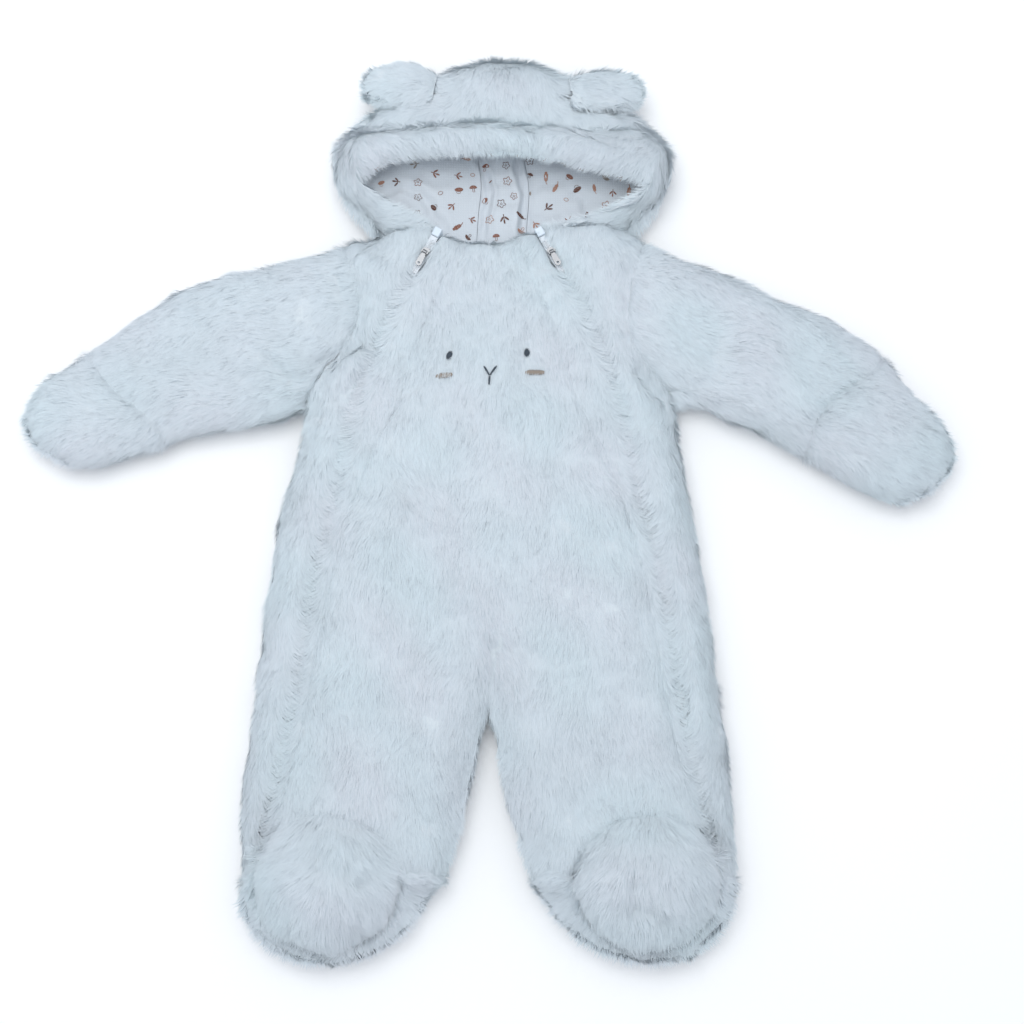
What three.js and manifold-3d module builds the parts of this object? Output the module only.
// A baby's hooded plush snowsuit, laid flat on its back, in millimetres.
// +Z is up, the hood is towards +Y and the feet towards -Y. Left and right are those of a viewer
// who looks down at it with the hood at the top, so the left side is at -X.
// Every cut piece is a wall of plush cloth with its padding. A wall is a patch of the plan whose
// upper and lower faces come from height functions, and pieces stand 0.3 mm apart at the seams.
import * as THREE from "three";
import { mergeVertices } from "three/addons/utils/BufferGeometryUtils.js";
import Module from "manifold-3d";

// Cloth and heights above the surface that the suit lies on.
const SEAM_GAP = 0.34; // between two pieces that are sewn together
const SEAM_HEIGHT = 20; // of the seam between front and back, at the outline
const SEWN_EDGE = 2; // thickness of one layer where it is sewn
const LAYER_SLACK = 1.35; // how far the front rises off the mid plane inside the suit
const SLACK_REACH = 12; // from the outline, where that rise is complete
const BODY_HEIGHT = 40;
const SLEEVE_HEIGHT = 37;
const CROWNING = 4; // extra height far from the outline
const CROWNING_REACH = 50;
const ROLL_WIDTH = 26; // of the rounded upper edge
const UNDER_ROLL = 15; // of the rounded lower edge
const CENTRE_Y = 16; // plan height of the middle of the whole suit, which becomes Y = 0

// The zip's sizes.
const ZIP_WIDTH = 6.6;
const ZIP_DEPTH = 9; // of the teeth below the pile beside them
const ZIP_TOP_DEPTH = 3; // the same at the neck, where the slider stands
const ZIP_TOP_REACH = 38; // length of the stretch where the teeth stand up
const ZIP_TOP_SLOPE = 20; // and of the slope behind it
const SLIDER_ROW = 1.6; // where the slider stands, as a row of LEVELS
const GARAGE_ROW = 0.5; // where the garage at the neck ends
const SLIDER = {
  length: 8.4,
  width: 5.6,
  height: 2.2,
  lug: 0.8, // thickness of each lug that holds the pin
  lugLength: 2.6,
  lugTop: 1.2, // above the pin's middle
  pinRadius: 0.6,
  pinHeight: 2, // of the pin's middle above the plate
};
const PULL = {
  length: 12.5,
  width: 5,
  thickness: 1.2,
  barrelRadius: 1.6,
  barrelLength: 3.2,
  neck: 2.8, // from the pin to where the tab widens
  hole: 1,
};
const PULL_CLEARANCE = 0.3; // round the pin

const COLOURS = {
  plush: 0xe6ebf0,
  plushShade: 0xd9e0e8,
  lining: 0xf0efec,
  zip: 0xdfe3e6,
  metal: 0xb9bdc2,
};

// Small helpers on plan points.
const at = (x, y) => new THREE.Vector2(x, y);
const mix = (a, b, t) => a + (b - a) * t;
const smooth = (t) => {
  const s = Math.min(Math.max(t, 0), 1);
  return s * s * (3 - 2 * s);
};
const steps = (from, to, step) => {
  const count = Math.round((to - from) / step);
  return Array.from({ length: count + 1 }, (_, i) => from + ((to - from) * i) / count);
};

// A smooth curve through plan points. Its parameter counts the points: 0 at the first, 1 at the second.
function curveThrough(points) {
  const spine = new THREE.CatmullRomCurve3(
    points.map((p) => new THREE.Vector3(p.x, p.y, 0)),
    false,
    "centripetal",
  );
  return (t) => {
    const p = spine.getPoint(t / (points.length - 1));
    return at(p.x, p.y);
  };
}

// Distance from a plan point to a chain of points.
function distanceTo(chain, x, y) {
  let best = Infinity;
  for (let i = 1; i < chain.length; i++) {
    const a = chain[i - 1];
    const dx = chain[i].x - a.x;
    const dy = chain[i].y - a.y;
    const along = ((x - a.x) * dx + (y - a.y) * dy) / (dx * dx + dy * dy || 1);
    const t = Math.min(Math.max(along, 0), 1);
    best = Math.min(best, Math.hypot(x - a.x - t * dx, y - a.y - t * dy));
  }
  return best;
}

// The suit's levels, from the neck to the crotch and on to the ankle, for both halves.
// left and right are the outer edge of the body: neck, shoulder and armhole down to the underarm,
// then the side outline. zip is the zip's line and inner the seam of the flap beside it, both
// mirrored. Each pair is x, y.
const LEVELS = [
  { name: "neck", left: [-86, 226], right: [111, 230], zip: [39, 227], inner: [20, 219] },
  { name: "collar", left: [-101, 223], right: [118, 226], zip: [46, 214], inner: [27, 204] },
  { name: "shoulder", left: [-115, 218], right: [124, 219], zip: [53, 201], inner: [34, 191] },
  { name: "sleeve head", left: [-108, 190], right: [114, 188], zip: [65, 183], inner: [41, 172] },
  { name: "yoke", left: [-101, 162], right: [110, 158], zip: [78, 154], inner: [51, 149] },
  { name: "upper chest", left: [-109, 136], right: [114, 133], zip: [89, 131], inner: [58, 129] },
  { name: "lower armhole", left: [-131, 112], right: [131, 108], zip: [97, 107], inner: [64, 107] },
  { name: "underarm", left: [-144, 82], right: [146, 85], zip: [104, 82], inner: [70, 85] },
  { name: "chest", left: [-147, 56], right: [151, 58], zip: [109, 56], inner: [85, 58] },
  { name: "waist", left: [-160, 18], right: [159, 20], zip: [118, 18], inner: [101, 19] },
  { name: "hip", left: [-168, -30], right: [164, -28], zip: [130, -30], inner: [115, -30] },
  { name: "seat", left: [-174, -84], right: [172, -84], zip: [139, -84], inner: [126, -84] },
  { name: "crotch", left: [-179, -132], right: [178, -132], zip: [146, -132], inner: [134, -132] },
  { name: "thigh", left: [-183, -170], right: [182, -170], zip: [152, -170], inner: [141, -170] },
  { name: "knee", left: [-187, -210], right: [185, -210], zip: [160, -208], inner: [149, -206] },
  { name: "shin", left: [-188, -250], right: [189, -250], zip: [168, -238], inner: [159, -229] },
  { name: "ankle", left: [-187, -280], right: [189, -280], zip: [172, -257], inner: [164, -244] },
];
const SHOULDER = 2;
const UNDERARM = 7;
const CROTCH = 12;
const ANKLE = 16;
const CROTCH_POINT = at(1, -132);
const ARMHOLE_STEP = 0.5;

// The legs' inner edges, from the crotch to the ankle, and the toe end of a foot from its outer
// side round to its inner side. Both are mirrored, and the suit's middle lies at CROTCH_POINT.x.
const INSEAM = [at(0, -132), at(3, -170), at(11, -211), at(20, -246), at(33, -280)];
const FOOT_END = [
  at(188, -280),
  at(184, -307),
  at(170, -329),
  at(146, -341),
  at(116, -343),
  at(86, -335),
  at(60, -319),
  at(43, -299),
  at(33, -280),
];

// The foot's upper, an oval that stands up from the end of the leg.
const FOOT = { x: 120, y: -280, halfWidth: 57, halfLength: 53, crest: 61, instep: 33, toe: 22 };

// Sleeve outlines from shoulder point to mitt, the line of the seam that shows on the front, the
// mitt's edge, and the rounded end of the mitt. Points are x, y in plan.
const SLEEVES = {
  left: {
    top: [at(-115, 218), at(-144, 211), at(-194, 198), at(-241, 184), at(-282, 156), at(-318, 129)],
    bottom: [at(-144, 82), at(-160, 75), at(-191, 68), at(-222, 62), at(-240, 58), at(-256, 53)],
    seamWidth: [14, 15, 20, 20, 18, 18],
    mittEdge: [at(-318, 129), at(-306, 113), at(-290, 92), at(-268, 77), at(-256, 53)],
    mittTop: [at(-318, 129), at(-334, 118), at(-349, 107)],
    mittEnd: [at(-349, 107), at(-361, 92), at(-365, 75), at(-362, 60), at(-355, 51)],
    mittBottom: [at(-256, 53), at(-284, 42), at(-310, 36), at(-333, 38), at(-355, 51)],
  },
  right: {
    top: [at(124, 219), at(143, 211), at(199, 190), at(234, 173), at(276, 156), at(314, 125)],
    bottom: [at(146, 85), at(167, 84), at(186, 73), at(204, 67), at(224, 58), at(246, 44)],
    seamWidth: [13, 12, 12, 13, 13, 12],
    mittEdge: [at(314, 125), at(301, 111), at(281, 99), at(262, 82), at(246, 44)],
    mittTop: [at(314, 125), at(336, 97), at(352, 80)],
    mittEnd: [at(352, 80), at(362, 66), at(365, 50), at(360, 34), at(348, 20)],
    mittBottom: [at(246, 44), at(272, 27), at(299, 11), at(322, 7), at(348, 20)],
  },
};

// The hood's ring round the face, from the left end of the neck over the top to the right end.
// lip is the edge of the opening and out the outline, nose the height of the lip's edge, crest
// that of the roll behind it and crown that of the cloth behind the roll. band is the share of the
// way from lip to out that belongs to the rolled brim.
const HOOD = [
  { lip: [-38, 228], out: [-86, 226], nose: 31, crest: 40, crown: 40, band: 1 },
  { lip: [-53, 238], out: [-102, 242], nose: 31, crest: 43, crown: 42, band: 1 },
  { lip: [-75, 250], out: [-119, 258], nose: 32, crest: 46, crown: 44, band: 1 },
  { lip: [-93, 259], out: [-128, 278], nose: 34, crest: 49, crown: 45, band: 1 },
  { lip: [-99, 268], out: [-123, 303], nose: 39, crest: 54, crown: 46, band: 1 },
  { lip: [-84, 275], out: [-99, 323], nose: 48, crest: 61, crown: 46, band: 0.75 },
  { lip: [-55, 279], out: [-68, 342], nose: 55, crest: 68, crown: 44, band: 0.48 },
  { lip: [-24, 281], out: [-36, 364], nose: 59, crest: 73, crown: 48, band: 0.36 },
  { lip: [11, 281], out: [11, 375], nose: 60, crest: 75, crown: 52, band: 0.32 },
  { lip: [45, 278], out: [57, 364], nose: 59, crest: 73, crown: 48, band: 0.36 },
  { lip: [75, 273], out: [89, 342], nose: 55, crest: 68, crown: 44, band: 0.48 },
  { lip: [105, 267], out: [120, 323], nose: 48, crest: 61, crown: 46, band: 0.75 },
  { lip: [126, 262], out: [145, 303], nose: 40, crest: 54, crown: 46, band: 1 },
  { lip: [119, 254], out: [150, 278], nose: 34, crest: 49, crown: 45, band: 1 },
  { lip: [96, 246], out: [142, 258], nose: 32, crest: 46, crown: 44, band: 1 },
  { lip: [66, 234], out: [128, 243], nose: 31, crest: 43, crown: 42, band: 1 },
  { lip: [39, 226], out: [111, 230], nose: 31, crest: 40, crown: 40, band: 1 },
];
const HOOD_WALL = 22;
const HOOD_FLOOR = 14; // top of the hood's under layer
const HOOD_CENTRE = at(11, 285);
const LIP_ROLL = 14;
const CROWN_ROWS = { from: 4, to: 12 };
const NECK_SCOOP = [at(-86, 226), at(-42, 213), at(11, 208), at(62, 213), at(111, 230)];

// The printed lining that shows in the hood, from the neck inwards, and the height of its wall.
const LINING_ROWS = [
  { y: 216, left: -46, seamLeft: -10, seamRight: 31, right: 66 },
  { y: 232, left: -70, seamLeft: -9, seamRight: 30, right: 92 },
  { y: 250, left: -88, seamLeft: -8, seamRight: 32, right: 114 },
  { y: 270, left: -101, seamLeft: -5, seamRight: 33, right: 124 },
  { y: 290, left: -101, seamLeft: -9, seamRight: 28, right: 124 },
  { y: 310, left: -86, seamLeft: -10, seamRight: 28, right: 107 },
  { y: 327, left: -60, seamLeft: -11, seamRight: 30, right: 80 },
  { y: 340, left: -36, seamLeft: -10, seamRight: 30, right: 56 },
];
const LINING_WALL = 2;
const LINING_PUFF = 5;

// The ears, from root to tip along their middle, with half width and half thickness.
const EARS = {
  left: { root: at(-40, 340), tip: at(-103, 352), rootHeight: 44, tipHeight: 27 },
  right: { root: at(63, 336), tip: at(125, 348), rootHeight: 44, tipHeight: 27 },
};
const EAR_SECTIONS = [
  { along: 0, halfWidth: 12, halfThickness: 2.5 },
  { along: 0.12, halfWidth: 17, halfThickness: 5 },
  { along: 0.28, halfWidth: 19, halfThickness: 8 },
  { along: 0.46, halfWidth: 20, halfThickness: 9.5 },
  { along: 0.62, halfWidth: 20, halfThickness: 10 },
  { along: 0.78, halfWidth: 18, halfThickness: 10 },
  { along: 0.9, halfWidth: 13.5, halfThickness: 8.5 },
  { along: 0.97, halfWidth: 7.5, halfThickness: 6 },
  { along: 1, halfWidth: 2, halfThickness: 3 },
];

// The largest folds and creases of the front, as troughs of this depth and half width.
const FOLDS = [
  { name: "left armhole pocket", depth: 6, width: 8, line: [at(-137, 100), at(-122, 124), at(-99, 138)] },
  { name: "right armhole pocket", depth: 6, width: 8, line: [at(141, 94), at(127, 110), at(114, 132)] },
  { name: "left sleeve drag", depth: 3, width: 8, line: [at(-142, 100), at(-188, 132), at(-198, 154)] },
  { name: "left elbow", depth: 2, width: 9, line: [at(-226, 150), at(-238, 120), at(-232, 92)] },
  { name: "left hand opening", depth: 4, width: 6, line: [at(-287, 107), at(-264, 104), at(-246, 78)] },
  { name: "left mitt", depth: 2.5, width: 6, line: [at(-335, 84), at(-312, 82), at(-292, 74)] },
  { name: "right sleeve drag", depth: 3, width: 9, line: [at(150, 100), at(168, 124), at(172, 150)] },
  { name: "right elbow", depth: 2.5, width: 9, line: [at(205, 120), at(222, 100), at(230, 78)] },
  { name: "right hand opening", depth: 3.5, width: 6, line: [at(282, 70), at(298, 74), at(320, 65)] },
  { name: "right waist", depth: 4, width: 9, line: [at(34, -34), at(84, -33), at(122, -38)] },
  { name: "left hip", depth: 3, width: 9, line: [at(-88, -54), at(-84, -96)] },
  { name: "seat above the crotch", depth: 3, width: 8, line: [at(-38, -72), at(-8, -78), at(12, -80)] },
  { name: "crotch", depth: 10, width: 7, line: [at(3, -98), at(1, -132)] },
  { name: "right crotch pleat", depth: 3.5, width: 8, line: [at(24, -92), at(44, -104), at(76, -114)] },
  { name: "left crotch pleat", depth: 3, width: 9, line: [at(-14, -104), at(-30, -126), at(-42, -160)] },
  { name: "left thigh", depth: 2.5, width: 13, line: [at(-60, -130), at(-92, -176), at(-116, -206)] },
  { name: "right thigh", depth: 2.5, width: 12, line: [at(92, -130), at(104, -164), at(98, -196)] },
  { name: "belly", depth: 2, width: 9, line: [at(33, 70), at(34, 8)] },
  { name: "left foot dimple", depth: 6, width: 7, line: [at(-108, -276), at(-88, -280)] },
  { name: "right foot dimple", depth: 9, width: 7, line: [at(113, -270), at(116, -300)] },
  { name: "right foot crease", depth: 4, width: 6, line: [at(118, -298), at(140, -312)] },
];

// Curves made from the tables.
const pair = (list) => at(list[0], list[1]);
const mirrored = (points, sign) => points.map((p) => at(sign * p.x, p.y));
const edgeOf = {
  left: curveThrough(LEVELS.map((row) => pair(row.left))),
  right: curveThrough(LEVELS.map((row) => pair(row.right))),
};
const SIGN = { left: -1, right: 1 };
const lineOf = (column, side) =>
  curveThrough(mirrored(LEVELS.map((row) => pair(row[column])), SIGN[side]));
const zipOf = { left: lineOf("zip", "left"), right: lineOf("zip", "right") };
const innerOf = { left: lineOf("inner", "left"), right: lineOf("inner", "right") };
const fromCrotch = (p, side) => at(SIGN[side] * p.x + CROTCH_POINT.x * (p.x === 0 ? 1 : 0.6), p.y);
const inseamOf = (side) => curveThrough(INSEAM.map((p) => fromCrotch(p, side)));
const footEndOf = (side) => {
  const points = FOOT_END.map((p) => at(SIGN[side] * p.x, p.y));
  points[0] = pair(LEVELS[ANKLE][side]);
  points[points.length - 1] = fromCrotch(INSEAM[INSEAM.length - 1], side);
  return curveThrough(points);
};
const chain = (curve, from, to, step = 0.125) => steps(from, to, step).map(curve);

// The outline where the cloth rolls over, in open chains that stop at the hood.
const OUTLINE = ["left", "right"].flatMap((side) => {
  const sleeve = SLEEVES[side];
  return [
    chain(edgeOf[side], 0, SHOULDER),
    chain(curveThrough(sleeve.top), 0, sleeve.top.length - 1),
    chain(curveThrough(sleeve.mittTop), 0, sleeve.mittTop.length - 1),
    chain(curveThrough(sleeve.mittEnd), 0, sleeve.mittEnd.length - 1),
    chain(curveThrough(sleeve.mittBottom), 0, sleeve.mittBottom.length - 1),
    chain(curveThrough(sleeve.bottom), 0, sleeve.bottom.length - 1),
    chain(edgeOf[side], UNDERARM, ANKLE),
    chain(footEndOf(side), 0, FOOT_END.length - 1),
    chain(inseamOf(side), 0, INSEAM.length - 1),
  ];
});
const outlineDistance = (x, y) =>
  Math.min(...OUTLINE.map((line) => distanceTo(line, x, y)));

// Troughs in the plush: the seams of the front, the armholes, and the folds.
const TROUGHS = [
  ...["left", "right"].flatMap((side) => [
    { depth: 5, width: 6, line: chain(zipOf[side], 0, ANKLE, 0.5) },
    { depth: 4, width: 5, line: chain(innerOf[side], 0, ANKLE, 0.5) },
    { depth: 5, width: 7, line: chain(edgeOf[side], SHOULDER, UNDERARM, 0.25) },
    { depth: 4, width: 6, line: chain(curveThrough(SLEEVES[side].mittEdge), 0, 4, 0.5) },
  ]),
  ...FOLDS,
];
function troughAt(x, y) {
  let depth = 0;
  for (const t of TROUGHS) {
    const reach = distanceTo(t.line, x, y) / t.width;
    if (reach < 3) depth += t.depth * Math.exp(-reach * reach);
  }
  return depth;
}

// Upper face of the front, lower face of the front, upper face of the back and the underside.
const rollOf = (share) => Math.sin((Math.PI / 2) * Math.min(share, 1) ** 0.75);
function frontTop(x, y) {
  const d = outlineDistance(x, y);
  const intoSleeve = smooth((Math.abs(x) - 118) / 60) * smooth((y - 20) / 60);
  const full =
    mix(BODY_HEIGHT, SLEEVE_HEIGHT, intoSleeve) + CROWNING * (1 - Math.exp(-d / CROWNING_REACH));
  const low = SEAM_HEIGHT + SEWN_EDGE;
  const height = mix(low, full, rollOf(d / ROLL_WIDTH));
  const lowest = Math.min(height, low + 6);
  return Math.max(height - troughAt(x, y) * smooth(d / 10), lowest);
}
const slackAt = (x, y) => LAYER_SLACK * smooth(outlineDistance(x, y) / SLACK_REACH);
const frontUnder = (x, y) => SEAM_HEIGHT + SEAM_GAP / 2 + slackAt(x, y);
const backTop = (x, y) => SEAM_HEIGHT - SEAM_GAP / 2 - slackAt(x, y);
function underside(distance) {
  const share = Math.min(distance / UNDER_ROLL, 1);
  return (SEAM_HEIGHT - SEWN_EDGE) * (1 - rollOf(share));
}
const backUnder = (x, y) => underside(outlineDistance(x, y));

// A patch of the plan between four edges, as rows of points. start and end are the first and the
// last row, left and right the first and the last column, and across and along their parameters.
function patch(start, end, left, right, across, along) {
  const last = across.length - 1;
  return along.map((v, j) =>
    across.map((u, i) => {
      const blend = (axis) => {
        const ruled = mix(start[i][axis], end[i][axis], v) + mix(left[j][axis], right[j][axis], u);
        const corners = mix(
          mix(start[0][axis], start[last][axis], u),
          mix(end[0][axis], end[last][axis], u),
          v,
        );
        return ruled - corners;
      };
      return at(blend("x"), blend("y"));
    }),
  );
}
const evenly = (count) => steps(0, 1, 1 / count);
const between = (a, b, shares) => shares.map((s) => a.clone().lerp(b, s));

// One cut piece: patches of the plan that share their points, closed with upright edges. Its rim
// is drawn in by half the seam gap, and its heights are those of the points before that.
function piece(name, colour, patches, top, bottom) {
  const points = [];
  const indexOf = new Map();
  const vertex = (p) => {
    const key = `${Math.round(p.x * 200)},${Math.round(p.y * 200)}`;
    if (!indexOf.has(key)) {
      indexOf.set(key, points.length);
      points.push(p);
    }
    return indexOf.get(key);
  };
  const faces = [];
  const areaOf = (p, q, r) => (q.x - p.x) * (r.y - p.y) - (q.y - p.y) * (r.x - p.x);
  for (const grid of patches) {
    const cells = [];
    for (let j = 1; j < grid.length; j++)
      for (let i = 1; i < grid[j].length; i++)
        cells.push([grid[j - 1][i - 1], grid[j - 1][i], grid[j][i], grid[j][i - 1]]);
    const turn = cells.reduce((sum, [a, b, c, d]) => sum + areaOf(a, b, c) + areaOf(a, c, d), 0);
    const addFace = (a, b, c) => {
      if (a !== b && b !== c && a !== c) faces.push(turn > 0 ? [a, b, c] : [a, c, b]);
    };
    for (const cell of cells) {
      const [a, b, c, d] = cell.map(vertex);
      if (points[a].distanceTo(points[c]) < points[b].distanceTo(points[d])) {
        addFace(a, b, c);
        addFace(a, c, d);
      } else {
        addFace(a, b, d);
        addFace(b, c, d);
      }
    }
  }
  const edges = new Map();
  for (const [a, b, c] of faces)
    for (const [from, to] of [[a, b], [b, c], [c, a]]) edges.set(`${from},${to}`, [from, to]);
  const rim = [...edges.values()].filter(([from, to]) => !edges.has(`${to},${from}`));

  const inward = points.map(() => []);
  for (const [from, to] of rim) {
    const along = points[to].clone().sub(points[from]).normalize();
    const normal = at(-along.y, along.x);
    inward[from].push(normal);
    inward[to].push(normal);
  }
  const placed = points.map((p, i) => {
    const z = [top(p.x, p.y, p), bottom(p.x, p.y, p)];
    const [m, n] = inward[i];
    if (!m) return { x: p.x, y: p.y, z };
    const bend = Math.max(1 + (n ? m.dot(n) : 1), 0.5);
    const move = m.clone().add(n ?? m).multiplyScalar(SEAM_GAP / 2 / bend);
    return { x: p.x + move.x, y: p.y + move.y, z };
  });
  const corner = (i, layer) => [placed[i].x, placed[i].y, placed[i].z[layer]];
  const triangles = [];
  for (const [a, b, c] of faces) {
    triangles.push(corner(a, 0), corner(b, 0), corner(c, 0));
    triangles.push(corner(a, 1), corner(c, 1), corner(b, 1));
  }
  for (const [a, b] of rim) {
    triangles.push(corner(b, 0), corner(a, 0), corner(a, 1));
    triangles.push(corner(b, 0), corner(a, 1), corner(b, 1));
  }
  return meshOf(name, colour, triangles.flat());
}

function meshOf(name, colour, positions) {
  const geometry = new THREE.BufferGeometry();
  geometry.setAttribute("position", new THREE.Float32BufferAttribute(positions, 3));
  geometry.computeVertexNormals();
  const metal = colour === COLOURS.metal;
  const material = new THREE.MeshStandardMaterial({
    color: colour,
    roughness: metal ? 0.35 : 0.95,
    metalness: metal ? 1 : 0,
  });
  const mesh = new THREE.Mesh(geometry, material);
  mesh.name = name;
  return mesh;
}

// Rows of the body, as values along LEVELS: half steps down to the underarm, then whole ones, and
// closer ones at the crotch.
const LOWER_ROWS = [8, 9, 10, 11, 11.45, 11.78, CROTCH];
const UPPER_ROWS = [...steps(0, UNDERARM, ARMHOLE_STEP), ...LOWER_ROWS];
const LEG_ROWS = steps(CROTCH, ANKLE, 1);
const ALL_ROWS = [...UPPER_ROWS, ...LEG_ROWS.slice(1)];
const shareOf = (rows) => rows.map((r) => (r - rows[0]) / (rows[rows.length - 1] - rows[0]));
const TO_EDGE = [0, 0.25, 0.5, 0.72, 0.87, 0.96, 1]; // columns that crowd at a rolled edge
const TO_MIDDLE = [0, 0.012, 0.045, 0.1, 0.25, 0.42, 0.47];
const TO_BOTH_EDGES = [...TO_MIDDLE, 0.5, ...TO_MIDDLE.map((share) => 1 - share).reverse()];
const CENTRE_COLUMNS = 7; // from the flap's seam to the middle

// The oval of a foot, at angles that its neighbours share. 0 degrees is its outer side.
const DEGREE = Math.PI / 180;
const ARCH_ANGLES = steps(40, 180, 140 / (CENTRE_COLUMNS - 1));
const TOE_ANGLES = steps(180, 360, 22.5);
const OVAL_ANGLES = [0, 8, 16, 22, 28, 34, ...ARCH_ANGLES, ...TOE_ANGLES.slice(1)];
const ovalPoint = (side, angle, share = 1) =>
  at(
    SIGN[side] * (FOOT.x + share * FOOT.halfWidth * Math.cos(angle * DEGREE)),
    FOOT.y + share * FOOT.halfLength * Math.sin(angle * DEGREE),
  );

// A line beside the zip, this far from its middle towards the outer edge, ending on the oval.
function besideZip(side, offset) {
  const points = ALL_ROWS.map((row) => {
    const p = zipOf[side](row);
    const ahead = zipOf[side](Math.min(row + 0.05, ANKLE));
    const behind = zipOf[side](Math.max(row - 0.05, 0));
    const along = ahead.sub(behind).normalize();
    return at(p.x - SIGN[side] * offset * along.y, p.y + SIGN[side] * offset * along.x);
  });
  points[points.length - 1] = ovalPoint(side, offset > 0 ? 22 : 28);
  return points;
}

// The front.
function frontCentre() {
  const across = evenly(2 * CENTRE_COLUMNS);
  const leftLine = UPPER_ROWS.map(innerOf.left);
  const rightLine = UPPER_ROWS.map(innerOf.right);
  const neck = across.map((u) => {
    const p = leftLine[0].clone().lerp(rightLine[0], u);
    return at(p.x, p.y - 3 * Math.sin(Math.PI * u));
  });
  const half = evenly(CENTRE_COLUMNS);
  const crotchRow = {
    left: between(innerOf.left(CROTCH), CROTCH_POINT, half),
    right: between(innerOf.right(CROTCH), CROTCH_POINT, half),
  };
  const hem = [...crotchRow.left, ...crotchRow.right.slice(0, -1).reverse()];
  const chest = patch(neck, hem, leftLine, rightLine, across, shareOf(UPPER_ROWS));
  const legs = ["left", "right"].map((side) => {
    const arch = ARCH_ANGLES.map((angle) => ovalPoint(side, angle));
    const inseam = LEG_ROWS.map((row) => inseamOf(side)(row - CROTCH));
    const line = LEG_ROWS.map(innerOf[side]);
    line[line.length - 1] = arch[0];
    const bottom = [...arch, inseam[inseam.length - 1]];
    return patch(crotchRow[side], bottom, line, inseam, half, shareOf(LEG_ROWS));
  });
  return piece("front_centre", COLOURS.plush, [chest, ...legs], frontTop, frontUnder);
}

function zipFlap(side) {
  const across = evenly(2);
  const seam = ALL_ROWS.map(innerOf[side]);
  const edge = besideZip(side, -ZIP_WIDTH / 2);
  seam[seam.length - 1] = ovalPoint(side, 40);
  const bottom = [40, 34, 28].map((angle) => ovalPoint(side, angle));
  const neck = between(seam[0], edge[0], across);
  const grid = patch(neck, bottom, seam, edge, across, shareOf(ALL_ROWS));
  return piece(`zip_flap_${side}`, COLOURS.plushShade, [grid], frontTop, frontUnder);
}

function frontSide(side) {
  const inner = besideZip(side, ZIP_WIDTH / 2);
  const outer = ALL_ROWS.map(edgeOf[side]);
  const neck = between(inner[0], outer[0], TO_EDGE);
  const corner = ovalPoint(side, 0);
  const ankle = outer[outer.length - 1];
  const bottom = [
    ...[22, 16, 8, 0].map((angle) => ovalPoint(side, angle)),
    ...between(corner, ankle, [0.5, 0.85, 1]),
  ];
  const grid = patch(neck, bottom, inner, outer, TO_EDGE, shareOf(ALL_ROWS));
  return piece(`front_side_${side}`, COLOURS.plush, [grid], frontTop, frontUnder);
}

function zipTop(x, y) {
  const neck = zipOf[x < 0 ? "left" : "right"](0);
  const reach = Math.hypot(x - neck.x, y - neck.y) - ZIP_TOP_REACH;
  const rise = 1 - smooth(reach / ZIP_TOP_SLOPE);
  const depth = mix(ZIP_DEPTH, ZIP_TOP_DEPTH, rise);
  return Math.max(frontTop(x, y) - depth, frontUnder(x, y) + 2);
}

function zipPieces(side) {
  const inner = besideZip(side, -ZIP_WIDTH / 2);
  const outer = besideZip(side, ZIP_WIDTH / 2);
  const grid = inner.map((p, j) => [p, outer[j]]);
  const end = ALL_ROWS.indexOf(GARAGE_ROW);
  const garageTop = (x, y) => frontTop(x, y) - 0.5;
  return [
    piece(`zip_${side}`, COLOURS.zip, [grid.slice(end)], zipTop, frontUnder),
    piece(`zip_garage_${side}`, COLOURS.lining, [grid.slice(0, end + 1)], garageTop, frontUnder),
  ];
}

// The back, which lies on the surface.
function backBody() {
  const left = UPPER_ROWS.map(edgeOf.left);
  const right = UPPER_ROWS.map(edgeOf.right);
  const scoop = curveThrough(NECK_SCOOP);
  const neck = TO_BOTH_EDGES.map((u) => scoop(u * (NECK_SCOOP.length - 1)));
  const half = TO_BOTH_EDGES.length >> 1;
  const crotch = TO_BOTH_EDGES.map((u, i) =>
    i <= half
      ? left[left.length - 1].clone().lerp(CROTCH_POINT, 2 * u)
      : CROTCH_POINT.clone().lerp(right[right.length - 1], 2 * u - 1),
  );
  const grid = patch(neck, crotch, left, right, TO_BOTH_EDGES, shareOf(UPPER_ROWS));
  return piece("back_body", COLOURS.plushShade, [grid], backTop, backUnder);
}

function backLeg(side) {
  const across = [...TO_MIDDLE.map((share) => 2 * share), 0.98, 1];
  const outer = LEG_ROWS.map(edgeOf[side]);
  const inner = LEG_ROWS.map((row) => inseamOf(side)(row - CROTCH));
  const last = LEG_ROWS.length - 1;
  const top = between(outer[0], CROTCH_POINT, across);
  const bottom = between(outer[last], inner[last], across);
  const grid = patch(top, bottom, outer, inner, across, shareOf(LEG_ROWS));
  return piece(`back_leg_${side}`, COLOURS.plushShade, [grid], backTop, backUnder);
}

// A back piece that turns up to the front is marked as folded there, behind a narrow step.
const folded = (p) => Object.assign(p.clone(), { folded: true });
const stepOut = (from, to, distance) =>
  from.clone().addScaledVector(to.clone().sub(from).normalize(), distance);

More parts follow.
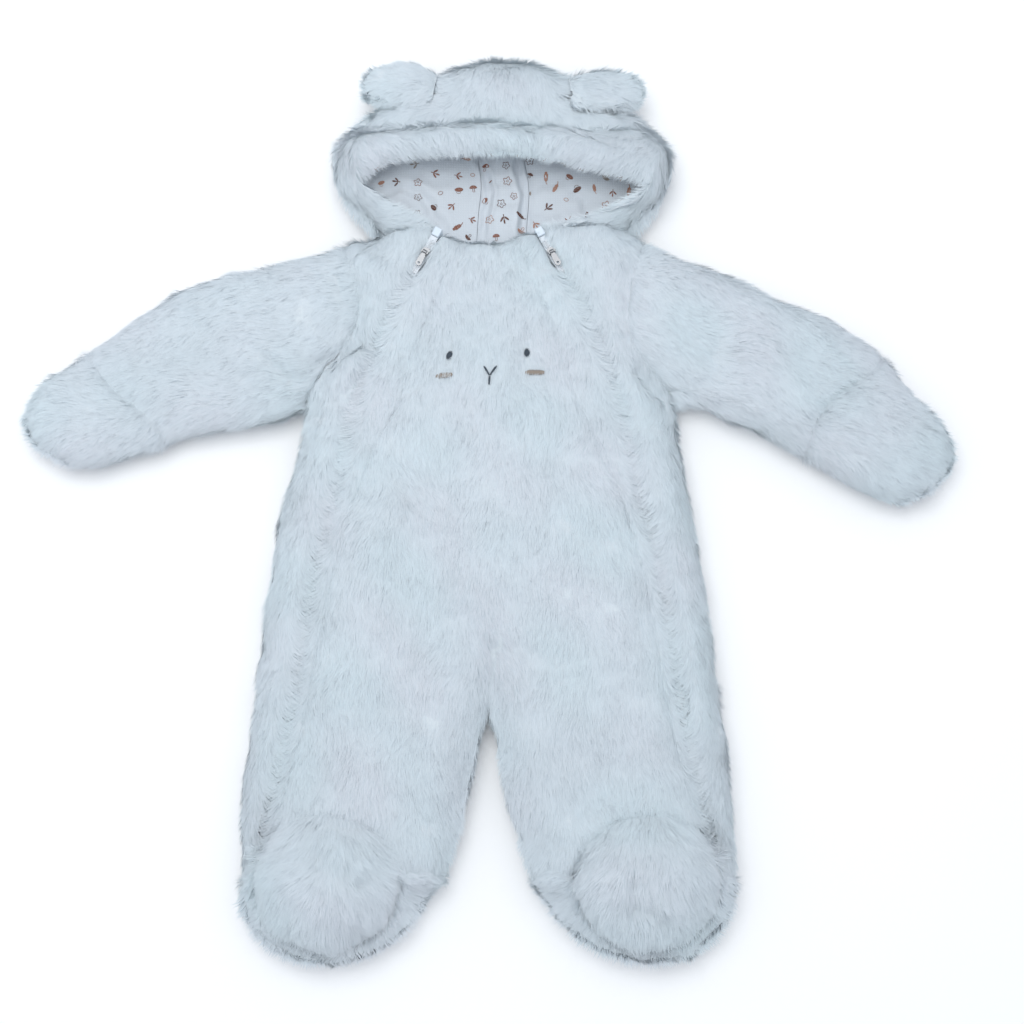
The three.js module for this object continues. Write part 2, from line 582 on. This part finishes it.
// The feet: the sole runs under the upper and shows as a low border round its toe.
const SOLE_EDGE = 24;
function sole(side) {
  const foot = footEndOf(side);
  const middle = at(SIGN[side] * FOOT.x, FOOT.y);
  const grid = TOE_ANGLES.map((angle, i) => {
    const rim = foot(FOOT_END.length - 1 - i);
    const oval = ovalPoint(side, angle);
    const under = between(middle, oval, [0, 0.5]);
    const border = between(stepOut(oval, rim, 0.3), rim, [0, 0.4, 0.7, 0.9, 1]);
    return [...under, stepOut(oval, rim, 0.1), ...border.map(folded)];
  });
  const borderTop = (x, y) =>
    Math.min(frontTop(x, y), mix(SOLE_EDGE, frontTop(x, y), smooth((y + 306) / 26)));
  const top = (x, y, p) => (p.folded ? borderTop(x, y) : backTop(x, y));
  return piece(`sole_${side}`, COLOURS.plushShade, [grid], top, backUnder);
}

function footTop(x, y) {
  const dx = (Math.abs(x) - FOOT.x) / FOOT.halfWidth;
  const dy = (y - FOOT.y) / FOOT.halfLength;
  const reach = Math.min(Math.hypot(dx, dy), 1);
  const edge = mix(FOOT.toe, FOOT.instep, smooth((dy + 0.55) / 1.1));
  const crest = FOOT.crest - 9 * smooth(dy + 0.1);
  const dome = (1 - reach ** 2.6) ** 0.55;
  return mix(edge, crest, dome) - troughAt(x, y) * dome;
}

function footUpper(side) {
  const rings = [0, 0.34, 0.6, 0.8, 0.92, 0.98, 1];
  const grid = OVAL_ANGLES.map((angle) => rings.map((r) => ovalPoint(side, angle, r)));
  const under = (x, y) => frontUnder(x, y);
  return piece(`foot_upper_${side}`, COLOURS.plush, [grid], footTop, under);
}

// The sleeves. The back of a sleeve turns up round the lower edge as far as the seam that shows,
// and there its points are marked as folded, so that they reach the height of the front.
const SLEEVE_COLUMNS = [0, 0.03, 0.1, 0.2, 0.33, 0.47, 0.61, 0.75, 0.88, 1];
const FOLD_COLUMNS = [0, 0.4, 0.75, 0.93, 1];
const ALONG_SLEEVE = 8;
function sleeveRows(side) {
  const table = SLEEVES[side];
  const along = evenly(ALONG_SLEEVE);
  const levels = steps(SHOULDER, UNDERARM, ARMHOLE_STEP);
  const sample = (points, share) => curveThrough(points)(share * (points.length - 1));
  const armhole = levels.map(edgeOf[side]);
  const grid = patch(
    armhole,
    shareOf(levels).map((u) => sample(table.mittEdge, u)),
    along.map((v) => sample(table.top, v)),
    along.map((v) => sample(table.bottom, v)),
    shareOf(levels),
    along,
  );
  const widths = table.seamWidth.map((w, i) => at(i, w));
  return grid.map((row, j) => {
    if (j === 0) return { front: armhole.slice(0, -1), fold: between(...armhole.slice(-2), FOLD_COLUMNS) };
    const length = row[0].distanceTo(row[row.length - 1]);
    const seam = 1 - sample(widths, along[j]).y / length;
    return {
      front: SLEEVE_COLUMNS.map((share) => sample(row, share * seam)),
      fold: between(sample(row, seam), row[row.length - 1], FOLD_COLUMNS),
    };
  });
}

const foldTop = (x, y, p) => (p.folded ? frontTop(x, y) : backTop(x, y));
function sleevePieces(side) {
  const rows = sleeveRows(side);
  const back = rows.map(({ front, fold }) => {
    const turn = [0.1, 0.3].map((distance) => stepOut(fold[0], fold[1], distance));
    return [...front.slice(0, -1), turn[0], folded(turn[1]), ...fold.slice(1).map(folded)];
  });
  const shade = COLOURS.plushShade;
  return [
    piece(`sleeve_front_${side}`, COLOURS.plush, [rows.map((row) => row.front)], frontTop, frontUnder),
    piece(`sleeve_back_${side}`, shade, [back], foldTop, backUnder),
  ];
}

function mittPieces(side) {
  const table = SLEEVES[side];
  const last = sleeveRows(side)[ALONG_SLEEVE];
  const edge = [...last.front, ...last.fold.slice(1)];
  const reach = [0];
  for (let i = 1; i < edge.length; i++) reach.push(reach[i - 1] + edge[i].distanceTo(edge[i - 1]));
  const across = reach.map((r) => r / reach[reach.length - 1]);
  const sample = (points, share) => curveThrough(points)(share * (points.length - 1));
  const grid = patch(
    edge,
    across.map((u) => sample(table.mittEnd, u)),
    TO_EDGE.map((v) => sample(table.mittTop, v)),
    TO_EDGE.map((v) => sample(table.mittBottom, v)),
    across,
    TO_EDGE,
  );
  return [
    piece(`mitt_flap_${side}`, COLOURS.plush, [grid], frontTop, frontUnder),
    piece(`mitt_back_${side}`, COLOURS.plushShade, [grid], backTop, backUnder),
  ];
}

// The hood. Its ring of brim and crown is made from rows of HOOD and shares from lip to outline.
const HOOD_END = HOOD.length - 1;
const besideGarage = (side) => besideZip(side, ZIP_WIDTH / 2)[0];
const lipOf = curveThrough([
  besideGarage("left"),
  ...HOOD.slice(1, -1).map((row) => pair(row.lip)),
  besideGarage("right"),
]);
const outOf = curveThrough(HOOD.map((row) => pair(row.out)));
const hoodValue = (column, row) => {
  const i = Math.min(Math.floor(row), HOOD_END - 1);
  return mix(HOOD[i][column], HOOD[i + 1][column], row - i);
};
const HOOD_OUTLINE = chain(outOf, 0, HOOD_END, 0.25);
const hoodDistance = (x, y) => Math.min(distanceTo(HOOD_OUTLINE, x, y), outlineDistance(x, y));

function ringPoint(row, share) {
  const lip = lipOf(row);
  const out = outOf(row);
  const length = lip.distanceTo(out);
  const band = hoodValue("band", row);
  const reach = share * length;
  const ridge = mix(
    hoodValue("crest", row),
    hoodValue("crown", row),
    smooth((reach - 16) / Math.max(band * length - 10, 10)),
  );
  const nose = hoodValue("nose", row);
  const atLip = rollOf(reach / LIP_ROLL);
  const atOut = rollOf((length - reach) / ROLL_WIDTH);
  const seam = 5 * smooth((1 - band) * 6) * Math.exp(-(((reach - band * length) / 5) ** 2));
  const top = mix(SEAM_HEIGHT + SEWN_EDGE, mix(nose + 1, ridge, atLip) - seam, atOut);
  const lowest = SEAM_HEIGHT + SEAM_GAP / 2;
  const hollow = Math.max(mix(nose - 1, ridge - HOOD_WALL, atLip), lowest + LAYER_SLACK);
  const under = mix(lowest, hollow, atOut);
  return Object.assign(lip.lerp(out, share), { top, under });
}
const ownTop = (x, y, p) => p.top;
const ownUnder = (x, y, p) => p.under;

function hoodBrim() {
  const columns = [0, 0.05, 0.14, 0.28, 0.45, 0.62, 0.78, 0.91, 1];
  const grid = steps(0, HOOD_END, 0.5).map((row) =>
    columns.map((share) => ringPoint(row, share * hoodValue("band", row))),
  );
  return piece("hood_brim", COLOURS.plush, [grid], ownTop, ownUnder);
}

function hoodCrown() {
  const columns = [0, 0.2, 0.45, 0.7, 0.87, 0.96, 1];
  const grid = steps(CROWN_ROWS.from, CROWN_ROWS.to, 0.5).map((row) =>
    columns.map((share) => ringPoint(row, mix(hoodValue("band", row), 1, share))),
  );
  return piece("hood_crown", COLOURS.plush, [grid], ownTop, ownUnder);
}

function hoodBack() {
  const scoop = curveThrough(NECK_SCOOP);
  const neck = TO_BOTH_EDGES.map((u) => scoop(u * (NECK_SCOOP.length - 1)));
  const round = [...steps(0, HOOD_END, 1).map(outOf), ...neck.reverse().slice(1)];
  const shares = [0, 0.4, 0.7, 0.86, 0.93, 0.98, 1];
  const grid = round.map((p) => between(HOOD_CENTRE, p, shares));
  const top = (x, y) =>
    mix(SEAM_HEIGHT - SEAM_GAP / 2, HOOD_FLOOR, smooth(hoodDistance(x, y) / 12));
  return piece("hood_back", COLOURS.plushShade, [grid], top, (x, y) => underside(hoodDistance(x, y)));
}

function hoodLining(name, from, to) {
  const columns = evenly(6);
  const grid = LINING_ROWS.map((row) =>
    columns.map((u) => {
      const end = smooth((row.y - 212) / 20) * smooth((350 - row.y) / 20);
      const puff = LINING_PUFF * Math.sin(Math.PI * u) * end;
      const under = HOOD_FLOOR + SEAM_GAP + puff;
      const p = at(mix(row[from], row[to], u), row.y);
      return Object.assign(p, { under, top: under + LINING_WALL });
    }),
  );
  return piece(name, COLOURS.lining, [grid], ownTop, ownUnder);
}

// An ear is two lens halves that meet at its middle surface. Its root rests on the hood's edge.
const EAR_REST = 0.45; // above what carries it
const EAR_LEAST = 2; // thickness of its under half there
function earPieces(side, hood) {
  const ear = EARS[side];
  const axis = ear.tip.clone().sub(ear.root);
  const aside = at(-axis.y, axis.x).normalize();
  const columns = [-1, -0.92, -0.7, -0.35, 0, 0.35, 0.7, 0.92, 1];
  const down = new THREE.Vector3(0, 0, -1);
  const heightAt = (x, y) => {
    const hits = new THREE.Raycaster(new THREE.Vector3(x, y, 200), down).intersectObjects(hood);
    return hits.length ? hits[0].point.z : 0;
  };
  const restUnder = (p) => {
    const around = [[0, 0], [3, 0], [-3, 0], [0, 3], [0, -3]];
    return Math.max(...around.map(([dx, dy]) => heightAt(p.x + dx, p.y + dy))) + EAR_REST;
  };
  const half = (facing) =>
    EAR_SECTIONS.map((section) =>
      columns.map((u) => {
        const p = ear.root.clone().addScaledVector(axis, section.along);
        p.addScaledVector(aside, u * section.halfWidth);
        const rest = restUnder(p);
        const level = mix(ear.rootHeight, ear.tipHeight, smooth(section.along));
        const middle = Math.max(level, rest + EAR_LEAST);
        const bulge = Math.max(section.halfThickness * Math.sqrt(1 - u * u), 1.1);
        const seam = middle + facing * (SEAM_GAP / 2);
        const face = facing > 0 ? seam + bulge : Math.max(seam - bulge, rest);
        return Object.assign(p, { top: Math.max(seam, face), under: Math.min(seam, face) });
      }),
    );
  return [
    piece(`ear_front_${side}`, COLOURS.plush, [half(1)], ownTop, ownUnder),
    piece(`ear_back_${side}`, COLOURS.plushShade, [half(-1)], ownTop, ownUnder),
  ];
}

// Slider and pull, made with the zip's direction along X and the pin along Y, then set in place.
const wasm = await Module();
wasm.setup();

function solidOf(geometry, x, y, z) {
  geometry.translate(x, y, z);
  geometry.deleteAttribute("normal");
  geometry.deleteAttribute("uv");
  const merged = mergeVertices(geometry);
  const triVerts = Uint32Array.from(merged.index.array);
  const vertProperties = Float32Array.from(merged.attributes.position.array);
  return new wasm.Manifold(new wasm.Mesh({ numProp: 3, vertProperties, triVerts }));
}

const rod = (radius, length, z) =>
  solidOf(new THREE.CylinderGeometry(radius, radius, length, 20), 0, 0, z);
const flat = (shape, thickness, z) =>
  solidOf(new THREE.ExtrudeGeometry(shape, { depth: thickness, bevelEnabled: false }), 0, 0, z);

function sliderBody() {
  const { length, width, height, lugLength, lug, pinRadius, pinHeight, lugTop } = SLIDER;
  const shoulder = 0.12 * length;
  const plate = new THREE.Shape([
    at(-length / 2, -width / 2 + 1),
    at(shoulder - length / 2, -width / 2),
    at(-shoulder, -width / 2),
    at(length / 2, -width / 4),
    at(length / 2, width / 4),
    at(-shoulder, width / 2),
    at(shoulder - length / 2, width / 2),
    at(-length / 2, width / 2 - 1),
  ]);
  const lugHeight = pinHeight + lugTop;
  const lugAt = (sign) =>
    solidOf(
      new THREE.BoxGeometry(lugLength, lug, lugHeight),
      0,
      (sign * (width - lug)) / 2,
      height + lugHeight / 2 - 0.2,
    );
  return flat(plate, height, 0)
    .add(lugAt(-1))
    .add(lugAt(1))
    .add(rod(pinRadius, width - lug, height + pinHeight));
}

function pullTab() {
  const { length, width, thickness, barrelRadius, barrelLength, neck, hole } = PULL;
  const centre = SLIDER.height + SLIDER.pinHeight;
  const end = length - width / 2;
  const blade = new THREE.Shape();
  blade.moveTo(barrelRadius / 2, -barrelLength / 2);
  blade.lineTo(neck, -barrelLength / 2);
  blade.lineTo(neck, -width / 2 + 0.4);
  blade.absarc(end, 0, width / 2, -Math.PI / 2, Math.PI / 2, false);
  blade.lineTo(neck, width / 2 - 0.4);
  blade.lineTo(neck, barrelLength / 2);
  blade.lineTo(barrelRadius / 2, barrelLength / 2);
  blade.holes.push(new THREE.Path().absarc(end, 0, hole, 0, 2 * Math.PI, true));
  return rod(barrelRadius, barrelLength, centre)
    .add(flat(blade, thickness, centre - thickness / 2))
    .subtract(rod(SLIDER.pinRadius + PULL_CLEARANCE, 2 * width, centre));
}

function zipHardware(side) {
  const place = zipOf[side](SLIDER_ROW);
  const along = zipOf[side](SLIDER_ROW + 0.3).sub(zipOf[side](SLIDER_ROW - 0.3)).normalize();
  const angle = Math.atan2(along.y, along.x) / DEGREE;
  const near = ALL_ROWS.map((row, i) => i).filter((i) => Math.abs(ALL_ROWS[i] - SLIDER_ROW) < 1);
  const edges = [-ZIP_WIDTH / 2, ZIP_WIDTH / 2].map((offset) => besideZip(side, offset));
  const heights = edges.flatMap((edge) => near.map((i) => zipTop(edge[i].x, edge[i].y)));
  const seat = Math.max(...heights) + SEAM_GAP;
  const set = (solid, name) => {
    const mesh = solid.rotate([0, 0, angle]).translate([place.x, place.y, seat]).getMesh();
    const corners = Array.from(mesh.triVerts).flatMap((v) =>
      Array.from(mesh.vertProperties.slice(v * mesh.numProp, v * mesh.numProp + 3)),
    );
    return meshOf(name, COLOURS.metal, corners);
  };
  return [set(sliderBody(), `zip_slider_${side}`), set(pullTab(), `zip_pull_${side}`)];
}

const bothSides = (make) => ["left", "right"].flatMap((side) => make(side));
const hoodShell = [hoodBrim(), hoodCrown()];
const suit = new THREE.Group();
suit.name = "baby_snowsuit";
suit.add(
  frontCentre(),
  ...bothSides(zipFlap),
  ...bothSides(zipPieces),
  ...bothSides(frontSide),
  backBody(),
  ...bothSides(backLeg),
  ...bothSides(sole),
  ...bothSides(footUpper),
  ...bothSides(sleevePieces),
  ...bothSides(mittPieces),
  ...hoodShell,
  hoodBack(),
  hoodLining("hood_lining_left", "left", "seamLeft"),
  hoodLining("hood_lining_centre", "seamLeft", "seamRight"),
  hoodLining("hood_lining_right", "seamRight", "right"),
  ...bothSides((side) => earPieces(side, hoodShell)),
  ...bothSides(zipHardware),
);
for (const mesh of suit.children) mesh.geometry.translate(0, -CENTRE_Y, 0);

export default suit;
